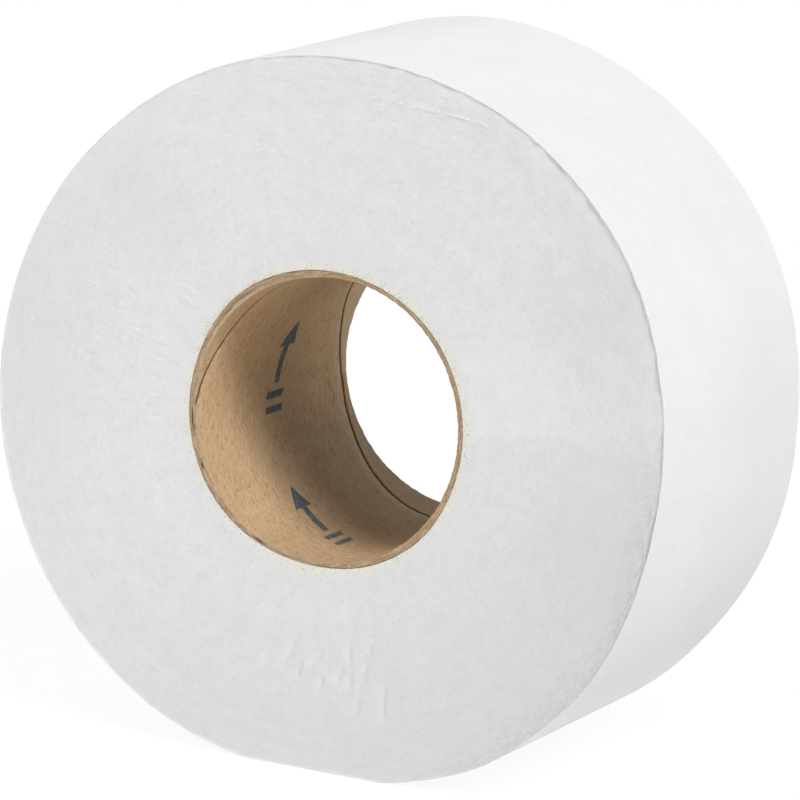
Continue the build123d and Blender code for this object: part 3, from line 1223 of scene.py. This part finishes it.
class ROLL_OT_stage(bpy.types.Operator):
    """Lays the floor and sets the light and the camera"""

    bl_idname = "paper_roll.stage"
    bl_label = "Stage"

    def execute(self, context):
        stage = context.scene.roll_stage
        context.scene.view_settings.view_transform = "Standard"
        self.lay_floor(context, stage)
        self.light_world(context.scene, stage)
        self.add_key(context, stage)
        self.add_fill(context, stage)
        self.add_camera(context, stage)
        return {"FINISHED"}

    def lay_floor(self, context, stage):
        sides = ((-1, -1), (1, -1), (1, 1), (-1, 1))
        corners = [(x * FLOOR_REACH, y * FLOOR_REACH, winding_low.z) for x, y in sides]
        mesh = bpy.data.meshes.new("floor")
        mesh.from_pydata(corners, [], [(0, 1, 2, 3)])
        mesh.materials.append(floor_material(stage))
        floor = bpy.data.objects.new("floor", mesh)
        context.collection.objects.link(floor)

    def light_world(self, scene, stage):
        world = bpy.data.worlds.new("studio")
        world.use_nodes = True
        tree = world.node_tree
        tree.nodes.clear()
        direction = add_node(tree, "ShaderNodeTexCoord").outputs["Generated"]
        backward = add_node(tree, "ShaderNodeSeparateXYZ", {0: direction}).outputs["Y"]
        sky = reckon(tree, "MULTIPLY_ADD", backward, stage.glow, stage.ambient)
        white_inputs = {"Value": looked_at(tree), "To Min": sky, "To Max": 1.0}
        white = add_node(tree, "ShaderNodeMapRange", white_inputs).outputs[0]
        inputs = {"Color": (1.0, 1.0, 1.0, 1.0), "Strength": white}
        light = add_node(tree, "ShaderNodeBackground", inputs)
        out = tree.nodes.new("ShaderNodeOutputWorld")
        tree.links.new(light.outputs[0], out.inputs["Surface"])
        scene.world = world

    def add_lamp(self, context, lamp, direction, distance):
        holder = bpy.data.objects.new(lamp.name, lamp)
        holder.location = direction * distance
        holder.rotation_euler = direction.to_track_quat("Z", "Y").to_euler()
        context.collection.objects.link(holder)

    def add_key(self, context, stage):
        lamp = bpy.data.lights.new("key", "SUN")
        lamp.energy = stage.key
        lamp.angle = stage.key_spread
        self.add_lamp(context, lamp, from_axis(stage.key_turn, stage.key_lean), KEY_DISTANCE)

    def add_fill(self, context, stage):
        lamp = bpy.data.lights.new("fill", "AREA")
        lamp.energy = stage.fill
        lamp.shape = "DISK"
        lamp.size = FILL_SIZE
        self.add_lamp(context, lamp, FILL_DIRECTION, FILL_DISTANCE)

    def add_camera(self, context, stage):
        lens = bpy.data.cameras.new("camera")
        lens.sensor_width = 36.0
        lens.lens = stage.focal
        camera = bpy.data.objects.new("camera", lens)
        level = np.cos(stage.elevation)
        right, front = level * np.sin(stage.azimuth), -level * np.cos(stage.azimuth)
        back = Vector((right, front, np.sin(stage.elevation)))
        camera.location = back * stage.distance - Vector((0.0, 0.0, stage.aim_drop))
        turned = back.to_track_quat("Z", "Y") @ Quaternion((0.0, 0.0, 1.0), stage.tilt)
        camera.rotation_euler = turned.to_euler()
        context.collection.objects.link(camera)
        context.scene.camera = camera


class ROLL_PT_panel(bpy.types.Panel):
    """Lists the roll's pieces and their sizes"""

    bl_idname = "ROLL_PT_panel"
    bl_label = "Paper roll"
    bl_space_type = "VIEW_3D"
    bl_region_type = "UI"
    bl_category = "Paper roll"

    def draw(self, context):
        for operator in OPERATORS:
            self.layout.operator(operator.bl_idname)
        for group_name in GROUPS:
            group = getattr(context.scene, group_name)
            box = self.layout.box()
            for name in group.bl_rna.properties.keys():
                if name not in ("rna_type", "name"):
                    box.prop(group, name)


GROUPS = {
    "roll_winding": WindingShape,
    "roll_core": CoreShape,
    "roll_finish": RollFinish,
    "roll_stage": RollStage,
}
OPERATORS = (
    ROLL_OT_paper_winding,
    ROLL_OT_loose_end,
    ROLL_OT_core_tube,
    ROLL_OT_core_fibres,
    ROLL_OT_stage,
)


def register():
    for group_name, group in GROUPS.items():
        bpy.utils.register_class(group)
        setattr(bpy.types.Scene, group_name, PointerProperty(type=group))
    for operator in OPERATORS:
        bpy.utils.register_class(operator)
    bpy.utils.register_class(ROLL_PT_panel)


def unregister():
    bpy.utils.unregister_class(ROLL_PT_panel)
    for operator in reversed(OPERATORS):
        bpy.utils.unregister_class(operator)
    for group_name, group in GROUPS.items():
        delattr(bpy.types.Scene, group_name)
        bpy.utils.unregister_class(group)


def main():
    register()
    bpy.ops.paper_roll.paper_winding()
    bpy.ops.paper_roll.loose_end()
    bpy.ops.paper_roll.core_tube()
    bpy.ops.paper_roll.core_fibres()
    bpy.ops.paper_roll.stage()


if __name__ == "__main__":
    main()
